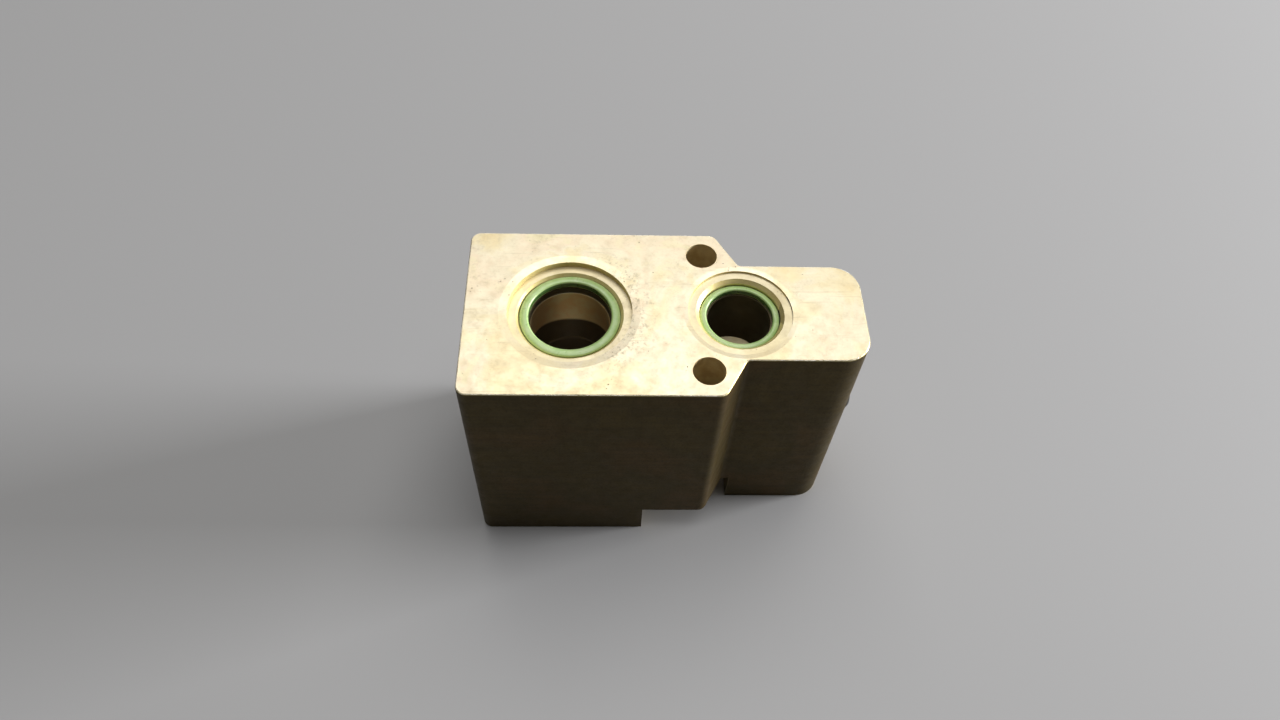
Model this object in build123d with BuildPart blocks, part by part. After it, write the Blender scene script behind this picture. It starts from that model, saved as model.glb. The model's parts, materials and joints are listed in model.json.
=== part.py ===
"""Block-type refrigerant expansion valve: a stepped aluminium block with a sensing element,
a spring-loaded ball valve and an adjusting screw on one cross axis.

Millimetres. The origin is under the middle of the overall box, on the face the block stands on.
+X runs from the power head end to the adjusting screw end, +Z up through the ports.
"""

import os
from math import pi, sqrt

from build123d import *

# ---- driving dimensions -------------------------------------------------------------------
BODY_LENGTH = 66.6
BODY_WIDTH = 33.5
NOSE_WIDTH = 19.8
BODY_HEIGHT = 47.8
SHOULDER_START = 42.2
SHOULDER_END = 46.1
NOSE_CORNER_R = 4.7
SHOULDER_INNER_R = 1.0
SHOULDER_OUTER_R = 1.7
HEAD_CORNER_R = 1.8
EDGE_BREAK = 0.2

SCREW_PROUD = 2.0
LEFT = -(BODY_LENGTH + SCREW_PROUD) / 2
RIGHT = LEFT + BODY_LENGTH
VALVE_Z = BODY_HEIGHT / 2

# Ports, as distances from the power head end.
SUCTION_X = LEFT + 17.4
OUTLET_X = LEFT + 45.7
INLET_X = LEFT + 56.6
SUCTION_BORE_R = 6.65
SUCTION_PILOT_R = 6.85
SUCTION_PILOT_DEPTH = 3.8
SUCTION_BORE_DEPTH = 16.4
SUCTION_WAIST_R = 6.4
SUCTION_WAIST_LAP = 0.1
OUTLET_BORE_R = 5.35
OUTLET_BORE_DEPTH = 14.3
OUTLET_PASSAGE_R = 2.4
INLET_BORE_R = 4.3
INLET_BORE_DEPTH = 9.5
INLET_PASSAGE_R = 2.3

# Fixings: two through holes into a slot across the underside, one tapped hole between them.
BOLT_X = LEFT + 39.8
BOLT_SPACING = 24.0
BOLT_HOLE_R = 2.7
SLOT_START = LEFT + 30.7
SLOT_END = LEFT + 47.7
SLOT_HEIGHT = 7.6
STUD_HOLE_R = 2.5
STUD_HOLE_DEPTH = 9.0
DRILL_TIP = 1.4

# Power head, in a stepped cavity in the left end.
HEAD_THREAD_R = 14.0
HEAD_THREAD_DEPTH = 4.15
HEAD_CAVITY_R = 13.4
HEAD_CAVITY_DEPTH = 6.4
PLATE_CHAMBER_R = 8.2
PLATE_CHAMBER_DEPTH = 8.6
EQUALISER_R = 3.7
HEAD_GROOVE_INNER_R = 10.25
HEAD_GROOVE_OUTER_R = 11.75
HEAD_GROOVE_DEPTH = 1.3

# Valve train and its bores.
ROD_R = 2.6
ROD_GUIDE_R = 2.63
ROD_END = LEFT + 42.4
PIN_R = 0.8
PIN_START = LEFT + 39.4
ROD_SEAL_BORE_R = 4.5
ROD_SEAL_FLOOR = LEFT + 26.9
OUTLET_CHAMBER_R = 3.3
OUTLET_CHAMBER_START = LEFT + 41.5
SEAT_START = LEFT + 48.2
SEAT_END = LEFT + 50.4
SEAT_RING_R = 4.0
ORIFICE_R = 1.3
SEAT_CONE = 1.0
BALL_R = 2.0
BALL_GAP = 0.01
SPRING_CHAMBER_R = 5.2

# Adjusting screw.
SCREW_BORE_START = LEFT + 58.2
SCREW_BORE_R = 6.0
SCREW_R = 5.95
SCREW_START = LEFT + 59.2
SCREW_SHOULDER = LEFT + 65.9
SPRING_SEAT_X = LEFT + 61.2

VALVE_AXIS = Axis((0, 0, VALVE_Z), (1, 0, 0))
# A 45 degree cone holds the ball with its centre this far past the cone's small end.
BALL_X = SEAT_END - SEAT_CONE - ORIFICE_R + sqrt(2) * BALL_R + BALL_GAP

os.makedirs("parts", exist_ok=True)


# ---- shared shapes ------------------------------------------------------------------------
def turned(section, axis, mode=Mode.ADD):
    """Turn a closed half-section of (X, Z) points about an axis in the XZ plane."""
    with BuildSketch(Plane.XZ) as half_section:
        with BuildLine():
            Polyline(*section, close=True)
        make_face()
    revolve(half_section.sketch, axis=axis, mode=mode)


def along_valve(section):
    """(distance along X, radius) pairs as points above the valve axis."""
    return [(x, VALVE_Z + radius) for x, radius in section]


def vertical_axis(x):
    return Axis((x, 0, 0), (0, 0, 1))


def cut_port(x, face_z, inward, section):
    """Cut a port from (radius, depth) pairs; inward is -1 from the top face, +1 from below."""
    over = 0.5
    points = [(x, face_z - inward * over), (x + section[0][0], face_z - inward * over)]
    points += [(x + radius, face_z + inward * depth) for radius, depth in section]
    if section[-1][0] > 0:
        points += [(x, face_z + inward * section[-1][1])]
    turned(points, vertical_axis(x), mode=Mode.SUBTRACT)


def port_seat(bevel_r, bevel, recess_r, recess, seat_r, lead_in, ledge):
    """Shallow bevel, recess, lead-in cone and seal ledge of one port mouth."""
    return [
        (bevel_r, 0),
        (recess_r, bevel),
        (recess_r, recess),
        (seat_r + lead_in, recess),
        (seat_r, recess + lead_in),
        (seat_r, ledge),
    ]


def ring_seal(x, z, axis, offset, tube_r):
    """A round-section seal ring; offset is (X, Z) from its centre to its tube's centre."""
    with BuildPart() as seal:
        with BuildSketch(Plane.XZ):
            with Locations((x + offset[0], z + offset[1])):
                Circle(tube_r)
        revolve(axis=axis)
    return seal


def flattened_seal(x, face_z, inward, inner_r, outer_r, crest, ledge):
    """A port seal ring that its flange has pressed flat, with its crest at the inner edge."""
    with BuildPart() as seal:
        with BuildSketch(Plane.XZ) as section:
            with BuildLine():
                Polyline(
                    (x + inner_r, face_z + inward * ledge),
                    (x + inner_r, face_z + inward * crest),
                    (x + outer_r, face_z + inward * (crest + SEAL_SLOPE)),
                    (x + outer_r, face_z + inward * ledge),
                    close=True,
                )
            make_face()
            fillet(section.vertices(), radius=SEAL_CORNER_R)
        revolve(axis=vertical_axis(x))
    return seal


def ball(mode=Mode.ADD):
    """The valve ball's sphere, turned about the valve axis."""
    with BuildSketch(Plane.XZ) as half_disc:
        with BuildLine():
            ThreePointArc(
                (BALL_X - BALL_R, VALVE_Z), (BALL_X, VALVE_Z + BALL_R), (BALL_X + BALL_R, VALVE_Z)
            )
            Line((BALL_X + BALL_R, VALVE_Z), (BALL_X - BALL_R, VALVE_Z))
        make_face()
    revolve(half_disc.sketch, axis=VALVE_AXIS, mode=mode)


# ---- port mouths --------------------------------------------------------------------------
SUCTION_SEAT = port_seat(
    bevel_r=11.75, bevel=0.16, recess_r=10.35, recess=1.28, seat_r=8.5, lead_in=0.45, ledge=2.7
)
OUTLET_SEAT = port_seat(
    bevel_r=9.6, bevel=0.1, recess_r=8.75, recess=0.5, seat_r=6.8, lead_in=0.6, ledge=2.45
)
INLET_SEAT = port_seat(
    bevel_r=8.3, bevel=0.1, recess_r=7.5, recess=0.5, seat_r=5.75, lead_in=0.6, ledge=2.45
)
# Pilot and bore, each ending in a 45 degree cone; the last is drawn a little way into the waist.
SUCTION_MOUTH = SUCTION_SEAT + [
    (SUCTION_PILOT_R, SUCTION_SEAT[-1][1]),
    (SUCTION_PILOT_R, SUCTION_PILOT_DEPTH),
    (SUCTION_BORE_R, SUCTION_PILOT_DEPTH + SUCTION_PILOT_R - SUCTION_BORE_R),
    (SUCTION_BORE_R, SUCTION_BORE_DEPTH),
    (
        SUCTION_WAIST_R - SUCTION_WAIST_LAP,
        SUCTION_BORE_DEPTH + SUCTION_BORE_R - SUCTION_WAIST_R + SUCTION_WAIST_LAP,
    ),
]

# ---- valve body ---------------------------------------------------------------------------
with BuildPart() as valve_body:
    half, nose = BODY_WIDTH / 2, NOSE_WIDTH / 2
    with BuildSketch(Plane.XY) as outline:
        with BuildLine():
            Polyline(
                (LEFT, -half),
                (LEFT + SHOULDER_START, -half),
                (LEFT + SHOULDER_END, -nose),
                (RIGHT, -nose),
                (RIGHT, nose),
                (LEFT + SHOULDER_END, nose),
                (LEFT + SHOULDER_START, half),
                (LEFT, half),
                close=True,
            )
        make_face()
        # From the right end to the left, so that the corners still to come keep their places.
        fillet(outline.vertices().sort_by(Axis.X)[6:8], radius=NOSE_CORNER_R)
        fillet(outline.vertices().sort_by(Axis.X)[4:6], radius=SHOULDER_INNER_R)
        fillet(outline.vertices().sort_by(Axis.X)[2:4], radius=SHOULDER_OUTER_R)
        fillet(outline.vertices().sort_by(Axis.X)[0:2], radius=HEAD_CORNER_R)
    extrude(amount=BODY_HEIGHT)
    rims = valve_body.faces().filter_by(Axis.Z)
    chamfer(rims.edges(), length=EDGE_BREAK)

    # Slot for the clamp plate and bolt heads, right across the underside.
    with BuildSketch(Plane.XZ.offset(-BODY_WIDTH)):
        with Locations(((SLOT_START + SLOT_END) / 2, 0)):
            Rectangle(SLOT_END - SLOT_START, 2 * SLOT_HEIGHT)
    extrude(amount=2 * BODY_WIDTH, mode=Mode.SUBTRACT)

    # Through bolt holes, the waist of the suction bore, and the tapped hole's core.
    with BuildSketch(Plane.XY):
        with Locations((BOLT_X, 0)):
            with GridLocations(1, BOLT_SPACING, 1, 2):
                Circle(BOLT_HOLE_R)
        with Locations((SUCTION_X, 0)):
            Circle(SUCTION_WAIST_R)
    extrude(amount=BODY_HEIGHT, mode=Mode.SUBTRACT)
    stud_hole = [(STUD_HOLE_R, STUD_HOLE_DEPTH), (0, STUD_HOLE_DEPTH + DRILL_TIP)]
    cut_port(BOLT_X, SLOT_HEIGHT, 1, stud_hole)

    # Four port mouths: suction at both ends of its bore, liquid in from below, out at the top.
    cut_port(SUCTION_X, BODY_HEIGHT, -1, SUCTION_MOUTH)
    cut_port(SUCTION_X, 0, 1, SUCTION_MOUTH)
    cut_port(
        OUTLET_X,
        BODY_HEIGHT,
        -1,
        OUTLET_SEAT
        + [
            (OUTLET_BORE_R, OUTLET_SEAT[-1][1]),
            (OUTLET_BORE_R, OUTLET_BORE_DEPTH),
            (OUTLET_PASSAGE_R, OUTLET_BORE_DEPTH + DRILL_TIP),
            (OUTLET_PASSAGE_R, VALVE_Z),
        ],
    )
    cut_port(
        INLET_X,
        0,
        1,
        INLET_SEAT
        + [
            (INLET_BORE_R, INLET_SEAT[-1][1]),
            (INLET_BORE_R, INLET_BORE_DEPTH),
            (INLET_PASSAGE_R, INLET_BORE_DEPTH + DRILL_TIP),
            (INLET_PASSAGE_R, VALVE_Z - SPRING_CHAMBER_R / 2),
        ],
    )

    # Stepped bore for the power head and the rod, from the left end to the suction bore.
    turned(
        along_valve(
            [
                (LEFT - 1, 0),
                (LEFT - 1, HEAD_THREAD_R),
                (LEFT + HEAD_THREAD_DEPTH, HEAD_THREAD_R),
                (LEFT + HEAD_THREAD_DEPTH, HEAD_CAVITY_R),
                (LEFT + HEAD_CAVITY_DEPTH, HEAD_CAVITY_R),
                (LEFT + HEAD_CAVITY_DEPTH, HEAD_GROOVE_OUTER_R),
                (LEFT + HEAD_CAVITY_DEPTH + HEAD_GROOVE_DEPTH, HEAD_GROOVE_OUTER_R),
                (LEFT + HEAD_CAVITY_DEPTH + HEAD_GROOVE_DEPTH, HEAD_GROOVE_INNER_R),
                (LEFT + HEAD_CAVITY_DEPTH, HEAD_GROOVE_INNER_R),
                (LEFT + HEAD_CAVITY_DEPTH, PLATE_CHAMBER_R),
                (LEFT + PLATE_CHAMBER_DEPTH, PLATE_CHAMBER_R),
                (LEFT + PLATE_CHAMBER_DEPTH, EQUALISER_R),
                (SUCTION_X, EQUALISER_R),
                (SUCTION_X, 0),
            ]
        ),
        VALVE_AXIS,
        mode=Mode.SUBTRACT,
    )

    # Stepped bore for the rod seal, rod guide, seat, spring and screw, out to the right end.
    turned(
        along_valve(
            [
                (SUCTION_X, 0),
                (SUCTION_X, ROD_SEAL_BORE_R),
                (ROD_SEAL_FLOOR, ROD_SEAL_BORE_R),
                (ROD_SEAL_FLOOR, ROD_GUIDE_R),
                (OUTLET_CHAMBER_START, ROD_GUIDE_R),
                (OUTLET_CHAMBER_START, OUTLET_CHAMBER_R),
                (SEAT_START, OUTLET_CHAMBER_R),
                (SEAT_START, SEAT_RING_R),
                (SEAT_END, SEAT_RING_R),
                (SEAT_END, SPRING_CHAMBER_R),
                (SCREW_BORE_START, SPRING_CHAMBER_R),
                (SCREW_BORE_START, SCREW_BORE_R),
                (RIGHT + 1, SCREW_BORE_R),
                (RIGHT + 1, 0),
            ]
        ),
        VALVE_AXIS,
        mode=Mode.SUBTRACT,
    )
valve_body.part.label = "valve_body"
export_step(valve_body.part, "parts/valve_body.step")

# ---- port seals ---------------------------------------------------------------------------
SEAL_CORNER_R = 0.3
SEAL_SLOPE = 0.18
SUCTION_SEAL = (6.9, 8.42, 1.38, SUCTION_SEAT[-1][1])
OUTLET_SEAL = (5.55, 6.72, 1.3, OUTLET_SEAT[-1][1])
INLET_SEAL = (4.5, 5.67, 1.3, INLET_SEAT[-1][1])
port_seals = [
    ("suction_seal_top", SUCTION_X, BODY_HEIGHT, -1, SUCTION_SEAL),
    ("suction_seal_bottom", SUCTION_X, 0, 1, SUCTION_SEAL),
    ("outlet_seal_top", OUTLET_X, BODY_HEIGHT, -1, OUTLET_SEAL),
    ("inlet_seal_bottom", INLET_X, 0, 1, INLET_SEAL),
]
for name, seal_x, face_z, inward, section in port_seals:
    port_seal = flattened_seal(seal_x, face_z, inward, *section)
    port_seal.part.label = name
    export_step(port_seal.part, f"parts/{name}.step")

# ---- power head ---------------------------------------------------------------------------
COVER_FLANGE_R = 13.3
COVER_FLANGE_X = LEFT + 4.16
DIAPHRAGM_X = LEFT + 4.95
DIAPHRAGM_THICK = 0.15
BASE_X = LEFT + 5.11
SHEET = 0.8
DOME_R = 10.8
DOME_TOP_R = 9.2
DOME_X = LEFT + 2.2
CHARGE_HOLE_R = 0.9

with BuildPart() as power_head_cover:
    turned(
        along_valve(
            [
                (DIAPHRAGM_X - 0.01, COVER_FLANGE_R),
                (COVER_FLANGE_X, COVER_FLANGE_R),
                (COVER_FLANGE_X, DOME_R),
                (DOME_X + 0.5, DOME_TOP_R),
                (DOME_X, DOME_TOP_R - 1.6),
                (DOME_X, CHARGE_HOLE_R),
                (DOME_X + SHEET, CHARGE_HOLE_R),
                (DOME_X + SHEET, DOME_TOP_R - 2.0),
                (DOME_X + SHEET + 0.5, DOME_TOP_R - 0.8),
                (DIAPHRAGM_X - 0.01, DOME_R - 0.4),
            ]
        ),
        VALVE_AXIS,
    )
power_head_cover.part.label = "power_head_cover"
export_step(power_head_cover.part, "parts/power_head_cover.step")

CHARGE_PLUG_R = 1.7
with BuildPart() as charge_plug:
    turned(
        along_valve(
            [
                (DOME_X - 1.0, 0),
                (DOME_X - 1.0, CHARGE_PLUG_R - 0.7),
                (DOME_X - 0.6, CHARGE_PLUG_R),
                (DOME_X, CHARGE_PLUG_R),
                (DOME_X, CHARGE_HOLE_R),
                (DOME_X + SHEET + 0.3, CHARGE_HOLE_R),
                (DOME_X + SHEET + 0.3, 0),
            ]
        ),
        VALVE_AXIS,
    )
charge_plug.part.label = "charge_plug"
export_step(charge_plug.part, "parts/charge_plug.step")

# The diaphragm has two concentric corrugations between its clamped rim and its flat middle.
RIPPLE = 0.3
ripple_radii = [10.4, 9.9, 9.4, 8.9, 8.4]
with BuildPart() as diaphragm:
    front = [(DIAPHRAGM_X, 0), (DIAPHRAGM_X, ripple_radii[-1])]
    for index, radius in enumerate(reversed(ripple_radii[1:-1])):
        front.append((DIAPHRAGM_X - RIPPLE * ((index + 1) % 2), radius))
    front += [(DIAPHRAGM_X, ripple_radii[0]), (DIAPHRAGM_X, COVER_FLANGE_R)]
    back = [(x + DIAPHRAGM_THICK, radius) for x, radius in reversed(front)]
    turned(along_valve(front + back), VALVE_AXIS)
diaphragm.part.label = "diaphragm"
export_step(diaphragm.part, "parts/diaphragm.step")

BASE_HOLE_R = 8.5
with BuildPart() as power_head_base:
    turned(
        along_valve(
            [
                (BASE_X, BASE_HOLE_R + 2.2),
                (BASE_X, COVER_FLANGE_R),
                (LEFT + HEAD_CAVITY_DEPTH, COVER_FLANGE_R),
                (LEFT + HEAD_CAVITY_DEPTH, BASE_HOLE_R),
                (LEFT + HEAD_CAVITY_DEPTH - 0.7, BASE_HOLE_R),
                (LEFT + HEAD_CAVITY_DEPTH - 0.7, BASE_HOLE_R + 1.6),
            ]
        ),
        VALVE_AXIS,
    )
power_head_base.part.label = "power_head_base"
export_step(power_head_base.part, "parts/power_head_base.step")

HEAD_SEAL_TUBE = 0.63
head_groove_r = (HEAD_GROOVE_INNER_R + HEAD_GROOVE_OUTER_R) / 2
head_groove_x = LEFT + HEAD_CAVITY_DEPTH + HEAD_GROOVE_DEPTH / 2
power_head_seal = ring_seal(head_groove_x, VALVE_Z, VALVE_AXIS, (0, head_groove_r), HEAD_SEAL_TUBE)
power_head_seal.part.label = "power_head_seal"
export_step(power_head_seal.part, "parts/power_head_seal.step")

# Threaded ring that holds the power head, with four spanner slots in its outer face.
RING_FACE_X = LEFT + 0.4
RING_INNER_R = 11.2
RING_R = 13.95
SPANNER_WIDTH = 2.4
SPANNER_DEPTH = 1.2
with BuildPart() as head_retaining_ring:
    turned(
        along_valve(
            [
                (RING_FACE_X, RING_INNER_R + 0.4),
                (RING_FACE_X, RING_R - 0.4),
                (RING_FACE_X + 0.4, RING_R),
                (COVER_FLANGE_X - 0.02, RING_R),
                (COVER_FLANGE_X - 0.02, RING_INNER_R),
                (RING_FACE_X + 0.4, RING_INNER_R),
            ]
        ),
        VALVE_AXIS,
    )
    with BuildSketch(Plane.YZ.offset(RING_FACE_X)):
        with Locations((0, VALVE_Z)):
            with PolarLocations((RING_INNER_R + RING_R) / 2, 4, start_angle=45):
                Rectangle(RING_R - RING_INNER_R + 1, SPANNER_WIDTH)
    extrude(amount=SPANNER_DEPTH, mode=Mode.SUBTRACT)
head_retaining_ring.part.label = "head_retaining_ring"
export_step(head_retaining_ring.part, "parts/head_retaining_ring.step")

# ---- valve train --------------------------------------------------------------------------
PLATE_X = DIAPHRAGM_X + DIAPHRAGM_THICK + 0.01
PLATE_R = 8.0
PLATE_HUB_X = PLATE_X + 1.2
PLATE_HUB_END = PLATE_X + 2.5
ROD_SPIGOT_R = 1.8
ROD_SPIGOT_X = PLATE_HUB_END - 1.5
with BuildPart() as diaphragm_plate:
    turned(
        along_valve(
            [
                (PLATE_X, 0),
                (PLATE_X, PLATE_R - 0.4),
                (PLATE_X + 0.4, PLATE_R),
                (PLATE_HUB_X, PLATE_R),
                (PLATE_HUB_X, EQUALISER_R - 0.5),
                (PLATE_HUB_END, EQUALISER_R - 0.5),
                (PLATE_HUB_END, ROD_SPIGOT_R),
                (ROD_SPIGOT_X, ROD_SPIGOT_R),
                (ROD_SPIGOT_X, 0),
            ]
        ),
        VALVE_AXIS,
    )
diaphragm_plate.part.label = "diaphragm_plate"
export_step(diaphragm_plate.part, "parts/diaphragm_plate.step")

with BuildPart() as sensing_rod:
    turned(
        along_valve(
            [
                (ROD_SPIGOT_X, 0),
                (ROD_SPIGOT_X, ROD_SPIGOT_R),
                (PLATE_HUB_END, ROD_SPIGOT_R),
                (PLATE_HUB_END, ROD_R),
                (ROD_END - 0.3, ROD_R),
                (ROD_END, ROD_R - 0.3),
                (ROD_END, PIN_R),
                (PIN_START, PIN_R),
                (PIN_START, 0),
            ]
        ),
        VALVE_AXIS,
    )
sensing_rod.part.label = "sensing_rod"
export_step(sensing_rod.part, "parts/sensing_rod.step")

with BuildPart() as push_pin:
    turned(
        along_valve(
            [
                (PIN_START, 0),
                (PIN_START, PIN_R),
                (BALL_X - BALL_R - 0.2, PIN_R),
                (BALL_X - BALL_R, PIN_R - 0.2),
                (BALL_X - BALL_R, 0),
            ]
        ),
        VALVE_AXIS,
    )
    ball(mode=Mode.SUBTRACT)
push_pin.part.label = "push_pin"
export_step(push_pin.part, "parts/push_pin.step")

# Seal round the rod, in a counterbore closed by a push-in star washer.
ROD_SEAL_TUBE = 0.91
rod_seal_r = (ROD_R + 0.04 + ROD_SEAL_BORE_R - 0.04) / 2
rod_seal_x = ROD_SEAL_FLOOR - ROD_SEAL_TUBE - 0.05
rod_seal = ring_seal(rod_seal_x, VALVE_Z, VALVE_AXIS, (0, rod_seal_r), ROD_SEAL_TUBE)
rod_seal.part.label = "rod_seal"
export_step(rod_seal.part, "parts/rod_seal.step")

WASHER_THICK = 0.4
WASHER_TEETH = 8
washer_x = rod_seal_x - ROD_SEAL_TUBE - WASHER_THICK - 0.1
with BuildPart() as rod_seal_washer:
    with BuildSketch(Plane.YZ.offset(washer_x)):
        with Locations((0, VALVE_Z)):
            Circle(ROD_SEAL_BORE_R - 0.5)
            with PolarLocations(ROD_SEAL_BORE_R - 0.7, WASHER_TEETH):
                Rectangle(1.2, 1.1)
            Circle(ROD_R + 0.4, mode=Mode.SUBTRACT)
    extrude(amount=WASHER_THICK)
rod_seal_washer.part.label = "rod_seal_washer"
export_step(rod_seal_washer.part, "parts/rod_seal_washer.step")

with BuildPart() as seat_ring:
    turned(
        along_valve(
            [
                (SEAT_START, ORIFICE_R),
                (SEAT_START, SEAT_RING_R),
                (SEAT_END, SEAT_RING_R),
                (SEAT_END, ORIFICE_R + SEAT_CONE),
                (SEAT_END - SEAT_CONE, ORIFICE_R),
            ]
        ),
        VALVE_AXIS,
    )
seat_ring.part.label = "seat_ring"
export_step(seat_ring.part, "parts/seat_ring.step")

with BuildPart() as valve_ball:
    ball()
valve_ball.part.label = "valve_ball"
export_step(valve_ball.part, "parts/valve_ball.step")

HOLDER_RIM_X = BALL_X + 0.5
HOLDER_FLANGE_X = BALL_X + 1.7
HOLDER_FLANGE_END = HOLDER_FLANGE_X + 0.8
HOLDER_FLANGE_R = 4.1
HOLDER_SPIGOT_R = 2.6
HOLDER_END = HOLDER_FLANGE_END + 2.0
with BuildPart() as ball_holder:
    turned(
        along_valve(
            [
                (HOLDER_RIM_X, 0),
                (HOLDER_RIM_X, 2.8),
                (HOLDER_FLANGE_X, 3.2),
                (HOLDER_FLANGE_X, HOLDER_FLANGE_R),
                (HOLDER_FLANGE_END, HOLDER_FLANGE_R),
                (HOLDER_FLANGE_END, HOLDER_SPIGOT_R),
                (HOLDER_END - 0.4, HOLDER_SPIGOT_R),
                (HOLDER_END, HOLDER_SPIGOT_R - 0.4),
                (HOLDER_END, 0),
            ]
        ),
        VALVE_AXIS,
    )
    ball(mode=Mode.SUBTRACT)
ball_holder.part.label = "ball_holder"
export_step(ball_holder.part, "parts/ball_holder.step")

# Damping spring: a sheet ring behind the holder's flange with four fingers along the chamber.
FINGER_THICK = 0.25
FINGER_WIDTH = 1.8
FINGER_OUTER_R = SPRING_CHAMBER_R - 0.2
FINGER_LENGTH = 2.6
DAMPER_X = HOLDER_FLANGE_END
with BuildPart() as damping_spring:
    with BuildSketch(Plane.YZ.offset(DAMPER_X)):
        with Locations((0, VALVE_Z)):
            Circle(HOLDER_FLANGE_R)
            with PolarLocations(FINGER_OUTER_R - 0.7, 4, start_angle=45):
                Rectangle(1.4, FINGER_WIDTH)
            Circle(HOLDER_SPIGOT_R + 0.05, mode=Mode.SUBTRACT)
    extrude(amount=FINGER_THICK)
    with BuildSketch(Plane.YZ.offset(DAMPER_X - FINGER_LENGTH)):
        with Locations((0, VALVE_Z)):
            with PolarLocations(FINGER_OUTER_R - FINGER_THICK / 2, 4, start_angle=45):
                Rectangle(FINGER_THICK, FINGER_WIDTH)
    extrude(amount=FINGER_LENGTH + FINGER_THICK)
damping_spring.part.label = "damping_spring"
export_step(damping_spring.part, "parts/damping_spring.step")

# ---- set spring ---------------------------------------------------------------------------
SPRING_WIRE_R = 0.4
SPRING_MEAN_R = 3.4
SPRING_TURNS = 5.5
spring_start = DAMPER_X + FINGER_THICK + SPRING_WIRE_R + 0.03
spring_rise = SPRING_SEAT_X - SPRING_WIRE_R - 0.03 - spring_start
spring_pitch = spring_rise / SPRING_TURNS
with BuildPart() as set_spring:
    with BuildLine() as coil:
        Helix(
            pitch=spring_pitch,
            height=spring_rise,
            radius=SPRING_MEAN_R,
            center=(spring_start, 0, VALVE_Z),
            direction=(1, 0, 0),
        )
    wire = coil.wire()
    with BuildSketch(Plane(origin=wire @ 0, z_dir=wire % 0)):
        Circle(SPRING_WIRE_R)
    sweep(path=wire, is_frenet=True)
set_spring.part.label = "set_spring"
export_step(set_spring.part, "parts/set_spring.step")
coil_volume = pi * SPRING_WIRE_R**2 * SPRING_TURNS * sqrt(
    (2 * pi * SPRING_MEAN_R) ** 2 + spring_pitch**2
)
print("set_spring volume over wire volume", round(set_spring.part.volume / coil_volume, 4))

# ---- adjusting screw ----------------------------------------------------------------------
SCREW_CUP_R = 4.0
GROOVE_X = SCREW_START + 0.95
GROOVE_WIDTH = 1.4
GROOVE_R = 4.75
STUB_R = 3.3
STUB_END = RIGHT + SCREW_PROUD
STUB_CHAMFER = 0.4
SOCKET_FLATS = 4.0
SOCKET_DEPTH = 3.4
with BuildPart() as adjusting_screw:
    turned(
        along_valve(
            [
                (SPRING_SEAT_X, 0),
                (SPRING_SEAT_X, SCREW_CUP_R),
                (SCREW_START, SCREW_CUP_R),
                (SCREW_START, SCREW_R),
                (GROOVE_X, SCREW_R),
                (GROOVE_X, GROOVE_R),
                (GROOVE_X + GROOVE_WIDTH, GROOVE_R),
                (GROOVE_X + GROOVE_WIDTH, SCREW_R),
                (SCREW_SHOULDER - 0.5, SCREW_R),
                (SCREW_SHOULDER, SCREW_R - 0.5),
                (SCREW_SHOULDER, STUB_R),
                (STUB_END - STUB_CHAMFER, STUB_R),
                (STUB_END, STUB_R - STUB_CHAMFER),
                (STUB_END, 0),
            ]
        ),
        VALVE_AXIS,
    )
    with BuildSketch(Plane.YZ.offset(STUB_END - SOCKET_DEPTH)):
        with Locations((0, VALVE_Z)):
            RegularPolygon(SOCKET_FLATS / 2, 6, major_radius=False)
    extrude(amount=SOCKET_DEPTH, mode=Mode.SUBTRACT)
adjusting_screw.part.label = "adjusting_screw"
export_step(adjusting_screw.part, "parts/adjusting_screw.step")

ADJUSTER_SEAL_TUBE = 0.58
adjuster_seal_r = (GROOVE_R + SCREW_BORE_R) / 2
adjuster_seal_x = GROOVE_X + GROOVE_WIDTH / 2
adjuster_seal = ring_seal(
    adjuster_seal_x, VALVE_Z, VALVE_AXIS, (0, adjuster_seal_r), ADJUSTER_SEAL_TUBE
)
adjuster_seal.part.label = "adjuster_seal"
export_step(adjuster_seal.part, "parts/adjuster_seal.step")
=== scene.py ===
"""Looks for the block-type expansion valve, in metres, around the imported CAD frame."""

import json
import math

import bmesh
import bpy
from mathutils import Matrix, Vector, noise


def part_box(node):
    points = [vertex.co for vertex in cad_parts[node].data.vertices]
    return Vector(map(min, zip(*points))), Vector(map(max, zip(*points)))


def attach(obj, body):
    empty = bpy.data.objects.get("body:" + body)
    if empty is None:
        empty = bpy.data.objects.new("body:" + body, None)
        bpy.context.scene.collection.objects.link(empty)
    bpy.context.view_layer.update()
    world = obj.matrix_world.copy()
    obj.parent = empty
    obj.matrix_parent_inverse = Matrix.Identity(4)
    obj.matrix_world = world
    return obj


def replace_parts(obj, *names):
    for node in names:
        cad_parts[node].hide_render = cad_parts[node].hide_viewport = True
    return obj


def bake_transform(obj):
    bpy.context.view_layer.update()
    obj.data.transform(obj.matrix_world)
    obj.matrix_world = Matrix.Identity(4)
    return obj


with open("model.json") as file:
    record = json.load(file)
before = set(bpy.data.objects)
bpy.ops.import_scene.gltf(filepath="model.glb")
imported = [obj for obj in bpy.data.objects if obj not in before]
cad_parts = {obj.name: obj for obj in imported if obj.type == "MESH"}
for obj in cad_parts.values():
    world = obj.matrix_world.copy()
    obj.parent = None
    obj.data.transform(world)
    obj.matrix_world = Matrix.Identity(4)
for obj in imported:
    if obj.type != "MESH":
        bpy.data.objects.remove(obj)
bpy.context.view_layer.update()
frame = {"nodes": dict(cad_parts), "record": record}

MM = 0.001
BODY_LOW, BODY_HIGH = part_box("valve_body")
CENTRE = (BODY_LOW + BODY_HIGH) / 2
VALVE_Z = CENTRE.z
OPENINGS = {item["name"]: item["box_m"] for item in frame["record"]["physics"]["openings"]}
SLOT_LOW, SLOT_HIGH = (Vector(corner) for corner in OPENINGS["underside_slot"])

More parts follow.
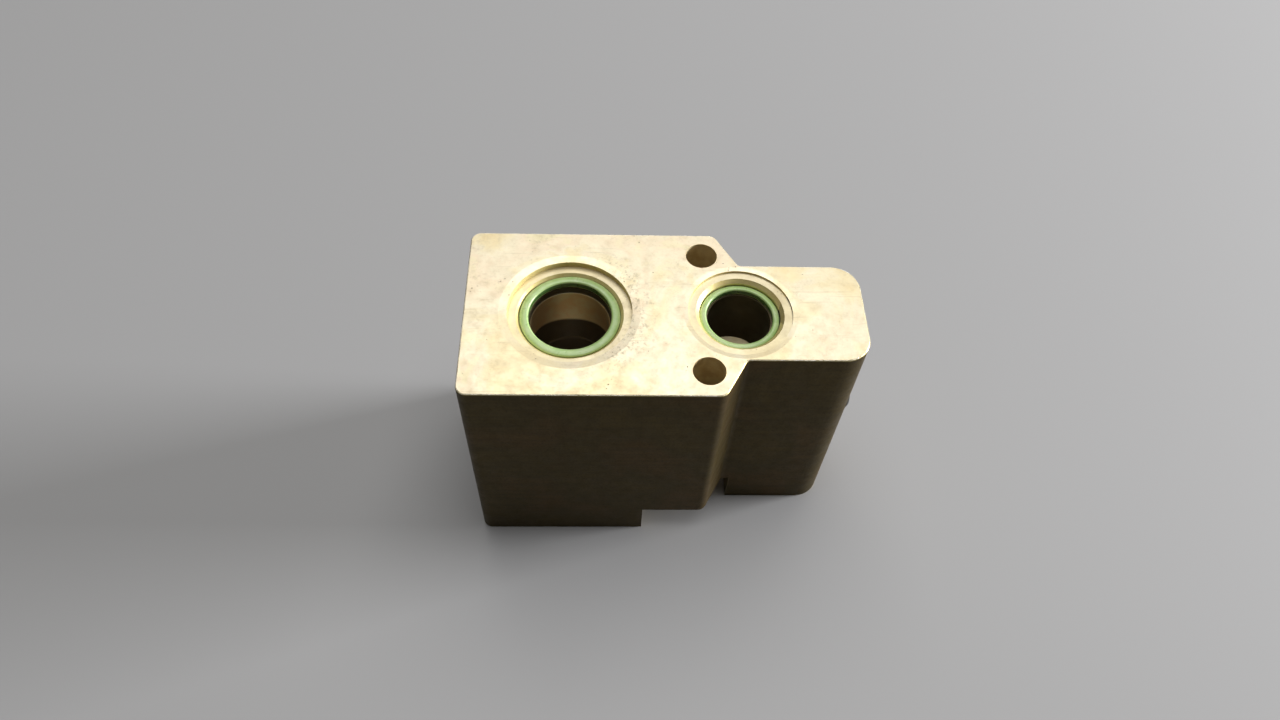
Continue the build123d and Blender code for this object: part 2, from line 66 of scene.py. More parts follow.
MOUNTS = {mount["name"]: mount for mount in frame["record"]["mounts"]}
SUCTION = Vector(MOUNTS["suction_inlet_port"]["pos_m"])
OUTLET = Vector(MOUNTS["liquid_outlet_port"]["pos_m"])
INLET = Vector(MOUNTS["liquid_inlet_port"]["pos_m"])
STUD = Vector(MOUNTS["hose_stud_hole"]["pos_m"])
BOLT_STEP = Vector((0, MOUNTS["through_bolts"]["dims"]["spacing_y_mm"] * MM / 2, 0))
BOLTS = [Vector(MOUNTS["through_bolts"]["pos_m"]) + side * BOLT_STEP for side in (1, -1)]
ALONG_X, UPWARD = (1, 0, 0), (0, 0, 1)
PORT_RINGS = ("suction_seal_top", "suction_seal_bottom", "outlet_seal_top", "inlet_seal_bottom")


# ---- node shorthand ------------------------------------------------------------------------
class Recipe:
    """A material's node tree, with one short call for each kind of node used below."""

    def __init__(self, name):
        self.material = bpy.data.materials.new(name)
        self.material.use_nodes = True
        self.tree = self.material.node_tree
        self.tree.nodes.clear()
        output = self.tree.nodes.new("ShaderNodeOutputMaterial")
        self.shader = self.tree.nodes.new("ShaderNodeBsdfPrincipled")
        self.tree.links.new(self.shader.outputs[0], output.inputs["Surface"])
        self.place = self.tree.nodes.new("ShaderNodeTexCoord")

    def put(self, socket, value):
        """Set a socket to a number or colour, or link it to another socket."""
        if isinstance(value, bpy.types.NodeSocket):
            self.tree.links.new(value, socket)
        elif value is not None:
            socket.default_value = value

    def set(self, **values):
        """Set the shader's inputs by name."""
        for name, value in values.items():
            self.put(self.shader.inputs[name.replace("_", " ")], value)

    def math(self, operation, a, b=None, clamp=False):
        """One step of arithmetic on numbers or sockets."""
        node = self.tree.nodes.new("ShaderNodeMath")
        node.operation, node.use_clamp = operation, clamp
        self.put(node.inputs[0], a)
        self.put(node.inputs[1], b)
        return node.outputs[0]

    def stretch(self, scale):
        """The object's own coordinates, multiplied by scale along X, Y and Z."""
        node = self.tree.nodes.new("ShaderNodeMapping")
        node.inputs["Scale"].default_value = scale
        self.put(node.inputs["Vector"], self.place.outputs["Object"])
        return node.outputs[0]

    def noise(self, size, detail=3.0, rough=0.55, vector=None, twist=0.0):
        """Noise from 0 to 1 whose features are about size metres across."""
        node = self.tree.nodes.new("ShaderNodeTexNoise")
        node.inputs["Scale"].default_value = 1 / size
        node.inputs["Detail"].default_value = detail
        node.inputs["Roughness"].default_value = rough
        node.inputs["Distortion"].default_value = twist
        self.put(node.inputs["Vector"], vector or self.place.outputs["Object"])
        return node.outputs["Fac"]

    def cells(self, size):
        """Distance from scattered points about size metres apart."""
        node = self.tree.nodes.new("ShaderNodeTexVoronoi")
        node.inputs["Scale"].default_value = 1 / size
        self.put(node.inputs["Vector"], self.place.outputs["Object"])
        return node.outputs["Distance"]

    def fit(self, value, low, high, to_low=0.0, to_high=1.0):
        """value from low..high to to_low..to_high, smoothly and held at both ends."""
        node = self.tree.nodes.new("ShaderNodeMapRange")
        node.interpolation_type = "SMOOTHSTEP"
        self.put(node.inputs["Value"], value)
        names = ("From Min", "From Max", "To Min", "To Max")
        for name, bound in zip(names, (low, high, to_low, to_high)):
            node.inputs[name].default_value = bound
        return node.outputs[0]

    def mix(self, share, a, b):
        """Colour a where share is 0, colour b where it is 1."""
        node = self.tree.nodes.new("ShaderNodeMix")
        node.data_type = "RGBA"
        self.put(node.inputs["Factor"], share)
        self.put(node.inputs[6], a)
        self.put(node.inputs[7], b)
        return node.outputs[2]

    def ramp(self, share, *stops):
        """Colours along share, from (position, colour) pairs."""
        node = self.tree.nodes.new("ShaderNodeValToRGB")
        ramp = node.color_ramp
        while len(ramp.elements) < len(stops):
            ramp.elements.new(0.5)
        for element, (position, colour) in zip(ramp.elements, stops):
            element.position, element.color = position, colour
        self.put(node.inputs["Fac"], share)
        return node.outputs["Color"]

    def upright(self, low, high):
        """1 on faces that point up or down, 0 on side faces, between them by the slope."""
        split = self.tree.nodes.new("ShaderNodeSeparateXYZ")
        self.tree.links.new(self.place.outputs["Normal"], split.inputs[0])
        return self.fit(self.math("ABSOLUTE", split.outputs["Z"]), low, high)

    def radius(self, about, along=ALONG_X):
        """Distance from the line through the point about that runs along one of the axes."""
        shift = self.tree.nodes.new("ShaderNodeVectorMath")
        shift.operation = "SUBTRACT"
        self.put(shift.inputs[0], self.place.outputs["Object"])
        shift.inputs[1].default_value = about
        flat = self.tree.nodes.new("ShaderNodeVectorMath")
        flat.operation = "MULTIPLY"
        self.put(flat.inputs[0], shift.outputs[0])
        flat.inputs[1].default_value = [1 - part for part in along]
        length = self.tree.nodes.new("ShaderNodeVectorMath")
        length.operation = "LENGTH"
        self.put(length.inputs[0], flat.outputs[0])
        return length.outputs["Value"]

    def drilled(self, about, radius, along=UPWARD):
        """1 within radius of the line through the point about, 0 outside it."""
        return self.math("LESS_THAN", self.radius(about, along), radius)

    def coordinate(self, axis):
        """X, Y or Z of the point that is shaded."""
        split = self.tree.nodes.new("ShaderNodeSeparateXYZ")
        self.tree.links.new(self.place.outputs["Object"], split.inputs[0])
        return split.outputs[axis]

    def any(self, *shares):
        """The largest of several shares."""
        most = shares[0]
        for share in shares[1:]:
            most = self.math("MAXIMUM", most, share)
        return most

    def both(self, *shares):
        """The product of several shares."""
        product = shares[0]
        for share in shares[1:]:
            product = self.math("MULTIPLY", product, share)
        return product

    def bump(self, height, depth, before=None):
        """A normal from height, whose 0 to 1 stands for depth metres."""
        node = self.tree.nodes.new("ShaderNodeBump")
        node.inputs["Strength"].default_value = 1.0
        node.inputs["Distance"].default_value = depth
        self.put(node.inputs["Height"], height)
        self.put(node.inputs["Normal"], before)
        return node.outputs[0]


# ---- materials -----------------------------------------------------------------------------
# Radii at which the block's finish or its painted shade changes. Each lies just past the wall
# that it belongs to.
SUCTION_PILOT_R, SUCTION_BORE_R = 6.95 * MM, 6.72 * MM
OUTLET_BORE_R, OUTLET_FLOOR_R = 5.6 * MM, 5.3 * MM
INLET_BORE_R = 4.45 * MM
STUD_HOLE_R = 2.6 * MM
BOLT_HOLE_R, BOLT_RIM_R = 2.75 * MM, 2.9 * MM
RECESS_FLOOR_R = {"suction": 10.3 * MM, "outlet": 8.7 * MM, "inlet": 7.45 * MM}
RECESS_RIM_R = {"suction": 10.6 * MM, "outlet": 9.0 * MM, "inlet": 7.8 * MM}
SCREW_BORE_R = 6.2 * MM
HEAD_CAVITY_R, HEAD_CAVITY_DEPTH = 14.2 * MM, 9 * MM
# The edge of the painted shade in the suction bore, measured from the valve's cross axis.
SHADE_EDGE_CLEAR_R, SHADE_EDGE_FULL_R = 14.6 * MM, 14.0 * MM
# A face passes from wall to level between these two shares of its normal along Z.
CUT_SLOPE = (0.45, 0.9)
FACED_SLOPE = (0.75, 0.95)
# How far the slot's finish and painted shade reach past its walls, and how far they stay inside
# the bar's sides.
SLOT_MARGIN, SLOT_SKIN = 0.25 * MM, 0.05 * MM
# Smudges fade out with distance from the suction port, and start to its right.
SMUDGE_OUTER_R, SMUDGE_INNER_R = 16 * MM, 11.5 * MM
SMUDGE_START, SMUDGE_FULL = 2 * MM, 10 * MM
# Painted shade on the suction passage's walls starts and is full at these distances from its axis
# along X, leaving a painted highlight down the middle.
SIDE_SHADE_START, SIDE_SHADE_FULL = 1.5 * MM, 6.2 * MM


def upper_half(r):
    """1 above the valve's cross axis, 0 below it."""
    return r.math("GREATER_THAN", r.coordinate("Z"), VALVE_Z)


def lower_half(r):
    """1 below the valve's cross axis, 0 above it."""
    return r.math("SUBTRACT", 1.0, upper_half(r))


def drilled_surfaces(r):
    """1 in the deep bores and holes, 0 elsewhere."""
    return r.any(
        r.drilled(SUCTION, SUCTION_PILOT_R),
        r.both(upper_half(r), r.drilled(OUTLET, OUTLET_BORE_R)),
        r.both(lower_half(r), r.drilled(INLET, INLET_BORE_R)),
        r.both(lower_half(r), r.drilled(STUD, STUD_HOLE_R)),
        *(r.drilled(bolt, BOLT_HOLE_R) for bolt in BOLTS),
    )


def seat_surfaces(r):
    """1 in the shallow recesses round the ports, 0 elsewhere."""
    return r.any(
        r.drilled(SUCTION, RECESS_FLOOR_R["suction"]),
        r.both(upper_half(r), r.drilled(OUTLET, RECESS_FLOOR_R["outlet"])),
        r.both(lower_half(r), r.drilled(INLET, RECESS_FLOOR_R["inlet"])),
    )


def bore_painted_shade(r):
    """1 where shade is painted dark: under the suction port's ring, deep at the suction bore's
    back, and in the liquid bores.
    """
    wall_share, floor_share = 0.93, 0.55
    level = r.upright(*CUT_SLOPE)
    within = r.drilled(SUCTION, SUCTION_BORE_R)
    pilot = r.math("SUBTRACT", r.drilled(SUCTION, SUCTION_PILOT_R), within)
    middle = r.both(
        within,
        r.fit(r.coordinate("Y"), -1 * MM, 0),
        r.fit(r.radius(CENTRE), SHADE_EDGE_CLEAR_R, SHADE_EDGE_FULL_R),
    )
    outlet_floor = r.both(r.drilled(OUTLET, OUTLET_FLOOR_R), level)
    outlet = r.drilled(OUTLET, OUTLET_BORE_R)
    outlet = r.math("SUBTRACT", outlet, r.both(outlet_floor, 1 - floor_share))
    inlet_wall = r.both(r.drilled(INLET, INLET_BORE_R), r.math("SUBTRACT", 1.0, level))
    return r.any(pilot, middle, r.both(outlet, wall_share), inlet_wall)


def slot_surfaces(r):
    """1 on the walls of the underside slot, 0 elsewhere."""
    return r.both(
        r.math("LESS_THAN", r.math("ABSOLUTE", r.coordinate("Y")), BODY_HIGH.y - SLOT_SKIN),
        r.math("LESS_THAN", r.coordinate("Z"), SLOT_HIGH.z),
        r.math("GREATER_THAN", r.coordinate("X"), SLOT_LOW.x - SLOT_MARGIN),
        r.math("LESS_THAN", r.coordinate("X"), SLOT_HIGH.x + SLOT_MARGIN),
    )


def cut_surfaces(r):
    """1 where the block was milled or drilled, 0 on the sides of the extruded bar."""
    head_end = r.math("LESS_THAN", r.coordinate("X"), BODY_LOW.x + HEAD_CAVITY_DEPTH)
    return r.any(
        r.upright(*CUT_SLOPE),
        r.drilled(SUCTION, RECESS_RIM_R["suction"]),
        r.drilled(OUTLET, RECESS_RIM_R["outlet"]),
        r.drilled(INLET, RECESS_RIM_R["inlet"]),
        r.drilled(STUD, STUD_HOLE_R),
        *(r.drilled(bolt, BOLT_RIM_R) for bolt in BOLTS),
        r.drilled(CENTRE, SCREW_BORE_R, ALONG_X),
        r.both(head_end, r.drilled(CENTRE, HEAD_CAVITY_R, ALONG_X)),
        slot_surfaces(r),
    )


def smudges(r):
    """Grey marks that fitting has left on the top face, most of them beside the suction port."""
    beside = r.both(
        r.fit(r.radius(SUCTION, UPWARD), SMUDGE_OUTER_R, SMUDGE_INNER_R),
        r.fit(r.coordinate("X"), SUCTION.x + SMUDGE_START, SUCTION.x + SMUDGE_FULL),
    )
    elsewhere = r.fit(r.noise(5 * MM, detail=2), 0.50, 0.66, 0.0, 0.35)
    spread = r.math("ADD", elsewhere, beside, clamp=True)
    marks = r.fit(r.noise(0.9 * MM, detail=6, rough=0.75), 0.49, 0.66)
    return r.both(marks, spread)


# Linear colours of the chromate film, of what lies on it, and of painted shade and highlight.
CREAM_RAMP = (
    (0.30, (0.87, 0.74, 0.47, 1)),
    (0.42, (0.88, 0.78, 0.54, 1)),
    (0.50, (0.89, 0.81, 0.62, 1)),
    (0.58, (0.89, 0.77, 0.58, 1)),
    (0.68, (0.87, 0.79, 0.55, 1)),
)
CREAM_BLOTCH, CREAM_GRAIN = (0.62, 0.50, 0.30, 1), (0.62, 0.52, 0.34, 1)
CUTTER_LINE = (0.52, 0.43, 0.27, 1)
SMUDGE = (0.36, 0.31, 0.21, 1)
RECESS_PAINTED_SHADE = (0.70, 0.62, 0.40, 1)
PIT = (0.22, 0.17, 0.10, 1)
WALL_LIGHT, WALL_DARK = (0.84, 0.72, 0.34, 1), (0.72, 0.58, 0.24, 1)
SLOT_PAINTED_SHADE = (0.16, 0.13, 0.07, 1)
HOLE_LIGHT, HOLE_DARK = (0.86, 0.74, 0.47, 1), (0.70, 0.56, 0.32, 1)
PASSAGE_LIGHT, PASSAGE_DARK = (1.0, 0.87, 0.54, 1), (0.97, 0.73, 0.40, 1)
PASSAGE_SIDE_SHADE = (0.50, 0.33, 0.17, 1)
BORE_SHADE_PAINT = (0.080, 0.064, 0.042, 1)
OLIVE_RAMP = (
    (0.35, (0.083, 0.057, 0.014, 1)),
    (0.50, (0.068, 0.048, 0.013, 1)),
    (0.65, (0.086, 0.053, 0.015, 1)),
)
OLIVE_STREAK, OLIVE_GRAIN = (0.046, 0.034, 0.013, 1), (0.034, 0.025, 0.010, 1)


def faced_cream(r, blotch, grain):
    """Cream of the milled faces, with the cutter's lines, smudges, and painted shade on the
    recess floors round the ports.
    """
    cream = r.ramp(r.noise(11 * MM, detail=4, rough=0.6, twist=0.6), *CREAM_RAMP)
    cream = r.mix(r.fit(blotch, 0.50, 0.78, 0.0, 0.25), cream, CREAM_BLOTCH)
    cream = r.mix(r.fit(grain, 0.45, 0.85, 0.0, 0.25), cream, CREAM_GRAIN)
    lines = r.noise(0.5 * MM, detail=2, vector=r.stretch((0.05, 1.0, 1.0)))
    cream = r.mix(r.fit(lines, 0.62, 0.74, 0.0, 0.25), cream, CUTTER_LINE)
    cream = r.mix(r.both(smudges(r), 0.65), cream, SMUDGE)
    # Painted shade that darkens the recess floors round the ports.
    return r.mix(r.both(seat_surfaces(r), 0.55), cream, RECESS_PAINTED_SHADE)


def corrosion_pits(r, outside):
    """Up to 0.7 in small pits that come in patches on the outside faces, 0 elsewhere."""
    patches = r.fit(r.noise(7 * MM, detail=2), 0.56, 0.64)
    spots = r.fit(r.cells(0.9 * MM), 0.08, 0.15, 0.7, 0.0)
    return r.both(spots, patches, outside)


def cut_walls(r, blotch):
    """Yellow of the recesses' and bores' side walls, with painted shade on the walls of the slot.
    """
    wall = r.mix(r.fit(blotch, 0.35, 0.70), WALL_LIGHT, WALL_DARK)
    # Painted shade, nearly black, on the slot's walls.
    return r.mix(slot_surfaces(r), wall, SLOT_PAINTED_SHADE)


def drilled_metal(r):
    """Yellow of the holes, and of the suction passage, with painted shade at both sides that
    leaves a painted highlight down its middle.
    """
    worn = r.fit(r.noise(3 * MM, detail=5), 0.40, 0.62)
    aside = r.math("ABSOLUTE", r.math("SUBTRACT", r.coordinate("X"), SUCTION.x))
    # Painted shade that grows with distance from the passage's middle.
    painted_side_shade = r.fit(aside, SIDE_SHADE_START, SIDE_SHADE_FULL, 0.0, 0.75)
    passage = r.mix(painted_side_shade, r.mix(worn, PASSAGE_LIGHT, PASSAGE_DARK), PASSAGE_SIDE_SHADE)
    hole = r.mix(worn, HOLE_LIGHT, HOLE_DARK)
    return r.mix(r.drilled(SUCTION, SUCTION_PILOT_R), hole, passage)


def extruded_olive(r, grain, drawn):
    """Olive brown of the extruded bar's sides, with faint level streaks."""
    olive = r.ramp(r.noise(14 * MM, detail=3, twist=0.4), *OLIVE_RAMP)
    olive = r.mix(r.fit(drawn, 0.35, 0.75, 0.0, 0.45), olive, OLIVE_STREAK)
    return r.mix(r.fit(grain, 0.45, 0.75, 0.0, 0.5), olive, OLIVE_GRAIN)


def chromated_aluminium():
    """Yellow chromate: cream where cut, olive brown on the bar's sides."""
    wave_depth, grain_depth, pit_depth = 0.04 * MM, 0.012 * MM, 0.05 * MM
    r = Recipe("chromated_aluminium")
    blotch = r.noise(2.4 * MM, detail=6, rough=0.7)
    grain = r.noise(0.4 * MM, detail=3)
    drawn = r.noise(1.0 * MM, detail=3, vector=r.stretch((0.06, 0.06, 1.4)))
    level, is_cut = r.upright(*FACED_SLOPE), cut_surfaces(r)
    deep, shade_in_bores = drilled_surfaces(r), bore_painted_shade(r)
    pits = corrosion_pits(r, r.math("SUBTRACT", level, deep, clamp=True))

    cream = r.mix(pits, faced_cream(r, blotch, grain), PIT)
    cut = r.mix(level, cut_walls(r, blotch), cream)
    cut = r.mix(deep, cut, drilled_metal(r))
    # Painted shade, nearly black, in the shaded depths of the bores.
    cut = r.mix(r.both(shade_in_bores, 0.97), cut, BORE_SHADE_PAINT)
    colour = r.mix(is_cut, extruded_olive(r, grain, drawn), cut)

    # Bore walls outside the painted shade are a little smoother.
    unshaded_bore = r.math("SUBTRACT", deep, shade_in_bores, clamp=True)
    rough = r.math("ADD", r.fit(blotch, 0.3, 0.7, 0.42, 0.54), r.both(grain, 0.06))
    rough = r.math("SUBTRACT", rough, r.both(unshaded_bore, 0.12))
    normal = r.bump(r.noise(6 * MM, detail=2), wave_depth)
    normal = r.bump(r.math("ADD", r.both(grain, 0.5), r.both(drawn, 0.5)), grain_depth, normal)
    normal = r.bump(pits, -pit_depth, normal)
    faced = r.both(is_cut, level)
    cut_wall = r.math("SUBTRACT", is_cut, faced)
    metallic = r.math("SUBTRACT", r.fit(faced, 0, 1, 0.72, 1.0), r.both(cut_wall, 0.25))
    r.set(Base_Color=colour, Roughness=rough, Metallic=metallic, Normal=normal)
    r.set(Specular_IOR_Level=0.15)
    return r.material


def burnished_edge():
    """Bare metal on the burrs that the milling cutter left."""
    r = Recipe("burnished_edge")
    colour = r.ramp(
        r.noise(1.2 * MM, detail=3),
        (0.35, (0.86, 0.79, 0.60, 1)),
        (0.65, (0.97, 0.94, 0.86, 1)),
    )
    rough = r.fit(r.noise(0.5 * MM), 0.3, 0.7, 0.25, 0.45)
    normal = r.bump(r.noise(0.2 * MM), 0.02 * MM)
    r.set(Base_Color=colour, Metallic=1.0, Roughness=rough, Normal=normal)
    return r.material


def rounded(r, name):
    """A height that gives the flattened face of a port ring the soft roll of a round section."""
    low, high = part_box(name)
    middle = (low + high) / 2
    inner = min((vert.co - middle).xy.length for vert in frame["nodes"][name].data.vertices)
    outer = (high.x - low.x) / 2
    steepest = 0.5
    across = r.math("SUBTRACT", r.radius(middle, UPWARD), (inner + outer) / 2)
    return r.both(r.math("POWER", across, 2.0), -steepest / (outer - inner))


def green_rubber(name="green_rubber", ring=None):
    """Pale green nitrile with a dusty film and painted shade on its side faces, and the roll of a
    port ring if ring names one.
    """
    r = Recipe(name)
    face = r.ramp(
        r.noise(2.2 * MM, detail=4),
        (0.32, (0.44, 0.68, 0.23, 1)),
        (0.50, (0.53, 0.75, 0.30, 1)),
        (0.70, (0.62, 0.79, 0.40, 1)),
    )
    dusty, shaded_side = (0.72, 0.76, 0.58, 1), (0.085, 0.19, 0.045, 1)
    dust = r.fit(r.noise(0.35 * MM, detail=4), 0.56, 0.78, 0.0, 0.35)
    # Painted shade, dark green, on the rings' side faces.
    colour = r.mix(r.upright(0.15, 0.60), shaded_side, r.mix(dust, face, dusty))
    rough = r.fit(r.noise(0.8 * MM), 0.3, 0.7, 0.26, 0.42)
    roll = r.bump(rounded(r, ring), 1.0) if ring else None
    normal = r.bump(r.noise(0.16 * MM, detail=3), 0.01 * MM, roll)
    r.set(Base_Color=colour, Roughness=rough, Normal=normal, Specular_IOR_Level=0.9)
    return r.material


def turned_metal(name, light, dark, rough, ring=0.22 * MM, depth=0.004 * MM):
    """Metal with fine rings round the valve axis, as a lathe or a press leaves it."""
    r = Recipe(name)
    radius = r.radius((0, 0, VALVE_Z))
    wander = r.both(r.noise(3 * MM, detail=2), 0.3 * ring)
    rings = r.math("SINE", r.both(r.math("ADD", radius, wander), 2 * math.pi / ring))
    patina = r.noise(2.4 * MM, detail=5, rough=0.6)
    colour = r.mix(r.fit(patina, 0.38, 0.68), light, dark)
    roughness = r.fit(r.noise(1.1 * MM, detail=4), 0.3, 0.7, *rough)
    normal = r.bump(r.math("ADD", rings, r.noise(0.3 * MM, detail=3)), depth)
    r.set(Base_Color=colour, Metallic=1.0, Roughness=roughness, Normal=normal)
    return r.material


# Light colour, dark colour, range of roughness, and the rings' pitch and depth where they differ.
METALS = {
    "stainless_sheet": {
        "light": (0.66, 0.65, 0.62, 1),
        "dark": (0.52, 0.50, 0.46, 1),
        "rough": (0.20, 0.34),
        "ring": 0.6 * MM,
    },
    "plated_steel": {
        "light": (0.63, 0.62, 0.58, 1),
        "dark": (0.46, 0.44, 0.38, 1),
        "rough": (0.28, 0.44),
    },
    "plain_aluminium": {
        "light": (0.80, 0.80, 0.80, 1),
        "dark": (0.68, 0.68, 0.67, 1),
        "rough": (0.25, 0.38),
    },
    "polished_steel": {
        "light": (0.70, 0.70, 0.71, 1),
        "dark": (0.62, 0.62, 0.62, 1),
        "rough": (0.06, 0.14),
        "depth": 0.0008 * MM,
    },
    "spring_steel": {
        "light": (0.46, 0.46, 0.47, 1),
        "dark": (0.28, 0.27, 0.26, 1),
        "rough": (0.28, 0.42),
        "ring": 0.5 * MM,
    },
    "phosphated_steel": {
        "light": (0.090, 0.088, 0.086, 1),
        "dark": (0.045, 0.043, 0.040, 1),
        "rough": (0.32, 0.48),
    },
    "brass": {
        "light": (0.78, 0.60, 0.30, 1),
        "dark": (0.60, 0.42, 0.18, 1),
        "rough": (0.22, 0.36),
    },
}
MATERIALS = {"chromated_aluminium": chromated_aluminium(), "green_rubber": green_rubber()}
MATERIALS.update({name: turned_metal(name, **look) for name, look in METALS.items()})
SLOTS = {part["node"]: part["material_slot"] for part in frame["record"]["subparts"]}


def dress(piece, material):
    """Give a piece one material."""
    piece.data.materials.clear()
    piece.data.materials.append(material)


for name, node in frame["nodes"].items():
    dress(node, MATERIALS[SLOTS[name]])
for name in PORT_RINGS:
    dress(frame["nodes"][name], green_rubber(f"green_rubber_{name}", name))


# ---- burr and spring -----------------------------------------------------------------------
WELD_DISTANCE = 0.0001 * MM
BURR_SIDES, BURR_STEP = 6, 0.12 * MM


def cad_mesh(name):
    """A copy of a node's mesh with its seams welded, for bmesh to work on."""
    mesh = bmesh.new()
    mesh.from_mesh(frame["nodes"][name].data)
    bmesh.ops.remove_doubles(mesh, verts=mesh.verts, dist=WELD_DISTANCE)
    return mesh


def smooth_piece(name, mesh):
    """Turn a bmesh into a smooth-shaded object in the scene, and free it."""
    data = bpy.data.meshes.new(name)
    mesh.to_mesh(data)
    mesh.free()
    data.shade_smooth()
    piece = bpy.data.objects.new(name, data)
    bpy.context.scene.collection.objects.link(piece)
    return piece


def top_outline():
    """The corners of the outer edge of the block's top face, in order."""
    level, near_top = 0.999, BODY_HIGH.z - 0.01 * MM
    mesh = cad_mesh("valve_body")
    top = {
        face
        for face in mesh.faces
        if face.normal.z > level and face.calc_center_median().z > near_top
    }
    after = {}
    for edge in mesh.edges:
        if sum(face in top for face in edge.link_faces) == 1:
            for one, other in (edge.verts, reversed(edge.verts)):
                after.setdefault(one, []).append(other)
    start = min(after, key=lambda vert: (vert.co.x, vert.co.y))
    loop, last, here = [start.co.copy()], start, after[start][0]
    while here is not start:
        loop.append(here.co.copy())
        last, here = here, next(vert for vert in after[here] if vert is not last)
    mesh.free()
    return loop


def evenly(loop, step):
    """Points a step apart along a closed line of corners."""
    points = []
    spare = 0.0
    for start, end in zip(loop, loop[1:] + loop[:1]):
        length = (end - start).length
        while spare < length:
            points.append(start.lerp(end, spare / length))
            spare += step
        spare -= length
    return points


def burr_ring(point, outward):
    """The corners of the burr's section at a point of the edge, kept inside the block's box."""
    edge_break = 0.15 * MM
    coarse_size, fine_size, lump_size = 2.2 * MM, 0.35 * MM, 0.2 * MM
    coarse, fine = noise.noise(point / coarse_size), noise.noise(point / fine_size)
    share = 1.0 if outward.y < -0.5 else 0.45
    radius = (0.045 + share * max(0.0, 0.05 * coarse + 0.045 * fine + 0.02)) * MM
    centre = point + outward * (0.5 * edge_break + 0.02 * fine * MM)
    centre.z -= 0.55 * edge_break + 0.04 * abs(coarse) * MM
    corners = []
    for side in range(BURR_SIDES):
        angle = 2 * math.pi * side / BURR_SIDES
        reach = radius * (1 + 0.3 * noise.noise(point / lump_size + Vector((side, 0, 0))))
        spoke = outward * math.cos(angle) + Vector((0, 0, math.sin(angle)))
        spot = centre + spoke * reach
        for axis in range(3):
            spot[axis] = min(max(spot[axis], BODY_LOW[axis]), BODY_HIGH[axis])
        corners.append(spot)
    return corners


def make_burr():
    """The ragged lip that milling the top face left along its outer edge, worst at the front."""
    points = evenly(top_outline(), BURR_STEP)
    mesh = bmesh.new()
    rings = []
    for index, point in enumerate(points):
        along = (points[(index + 1) % len(points)] - points[index - 1]).normalized()
        outward = along.cross(Vector(UPWARD))
        if outward.dot(point - Vector((CENTRE.x, 0, point.z))) < 0:
            outward = -outward
        rings.append([mesh.verts.new(corner) for corner in burr_ring(point, outward)])
    for one, other in zip(rings, rings[1:] + rings[:1]):
        for side in range(BURR_SIDES):
            mesh.faces.new((one[side], one[side - 1], other[side - 1], other[side]))
    bmesh.ops.recalc_face_normals(mesh, faces=mesh.faces)
    burr = smooth_piece("top_edge_burr", mesh)
    dress(burr, burnished_edge())
    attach(burr, "block")


make_burr()


def spring_half(name, towards):
    """The coil on one side of its middle, cut off there and capped, in the CAD spring's place."""
    closed_turn, sharp_angle = 1.0 * MM, math.radians(40)
    low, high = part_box("set_spring")
    middle = (low + high) / 2
    mesh = cad_mesh("set_spring")
    cut = bmesh.ops.bisect_plane(
        mesh,
        geom=mesh.verts[:] + mesh.edges[:] + mesh.faces[:],
        plane_co=middle,
        plane_no=(-towards, 0, 0),
        clear_outer=True,
    )
    rim = [item for item in cut["geom_cut"] if isinstance(item, bmesh.types.BMEdge)]
    bmesh.ops.holes_fill(mesh, edges=rim)
    half = smooth_piece(name, mesh)
    half.data.set_sharp_from_angle(angle=sharp_angle)
    dress(half, MATERIALS[SLOTS["set_spring"]])
    seated = middle.copy()
    seated.x = (low.x if towards < 0 else high.x) - towards * closed_turn
    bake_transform(half)
    return half


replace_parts(spring_half("set_spring_valve_end", -1), "set_spring")
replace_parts(spring_half("set_spring_screw_end", 1), "set_spring")


# ---- camera and studio ---------------------------------------------------------------------
def heading(azimuth, elevation):
    """The unit vector at azimuth degrees from +Y towards +X, and elevation degrees up."""
    azimuth, elevation = math.radians(azimuth), math.radians(elevation)
    return Vector(
        (
            math.sin(azimuth) * math.cos(elevation),
            math.cos(azimuth) * math.cos(elevation),
            math.sin(elevation),
        )
    )


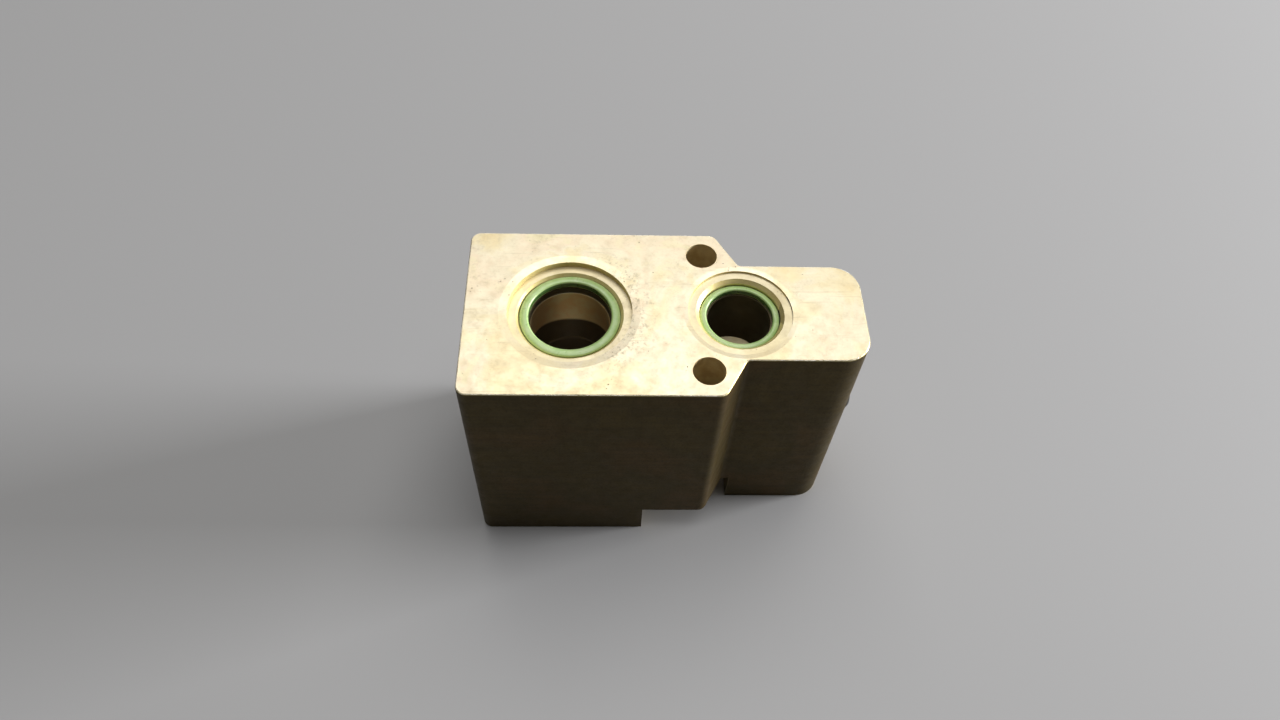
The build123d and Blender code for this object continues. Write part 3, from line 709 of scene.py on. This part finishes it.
def place_camera():
    """The viewing angle: high in front of the block, a little left of it, and slightly rolled."""
    place = Vector((-11.83, -95.57, 171.28)) * MM
    roll = math.radians(3.9)
    data = bpy.data.cameras.new("camera")
    data.sensor_width, data.lens = 36.0, 26.58
    data.clip_start, data.clip_end = 5 * MM, 50.0
    forward = heading(4.23, -55.2)
    level = forward.cross(Vector(UPWARD)).normalized()
    steep = level.cross(forward)
    right = level * math.cos(roll) + steep * math.sin(roll)
    up = steep * math.cos(roll) - level * math.sin(roll)
    camera = bpy.data.objects.new("camera", data)
    bpy.context.scene.collection.objects.link(camera)
    turn = Matrix((right, up, -forward)).transposed().to_4x4()
    camera.matrix_world = Matrix.Translation(place) @ turn
    bpy.context.scene.camera = camera


def soft_light(name, azimuth, elevation, distance, size, radiance, colour=(1, 1, 1)):
    """An area light that faces the block; azimuth 0 is behind it (+Y), 90 to its right (+X)."""
    data = bpy.data.lights.new(name, "AREA")
    data.shape, data.size, data.size_y = "RECTANGLE", size[0], size[1]
    data.energy = radiance * math.pi * size[0] * size[1]
    data.color = colour
    towards = heading(azimuth, elevation)
    light = bpy.data.objects.new(name, data)
    light.location = CENTRE + towards * distance
    light.rotation_euler = towards.to_track_quat("Z", "Y").to_euler()
    bpy.context.scene.collection.objects.link(light)


def make_studio():
    """Plain floor, plain world and two soft lights."""
    bpy.context.scene.view_settings.view_transform = "Standard"
    world = bpy.data.worlds.new("world")
    bpy.context.scene.world = world
    world.use_nodes = True
    background = world.node_tree.nodes["Background"]
    background.inputs["Color"].default_value = (0.95, 0.97, 1.0, 1)
    background.inputs["Strength"].default_value = 0.03

    soft_light(
        "key",
        azimuth=8,
        elevation=75,
        distance=1.2,
        size=(1.0, 1.2),
        radiance=2.68,
        colour=(1.0, 0.985, 0.95),
    )
    soft_light(
        "right_fill", azimuth=82, elevation=8, distance=1.2, size=(0.4, 0.26), radiance=95.0
    )

    bpy.ops.mesh.primitive_plane_add(size=6)
    floor = bpy.context.object
    floor.name = "floor"
    recipe = Recipe("floor")
    recipe.set(Base_Color=(0.44, 0.44, 0.45, 1), Roughness=0.8)
    floor.data.materials.append(recipe.material)


place_camera()
make_studio()
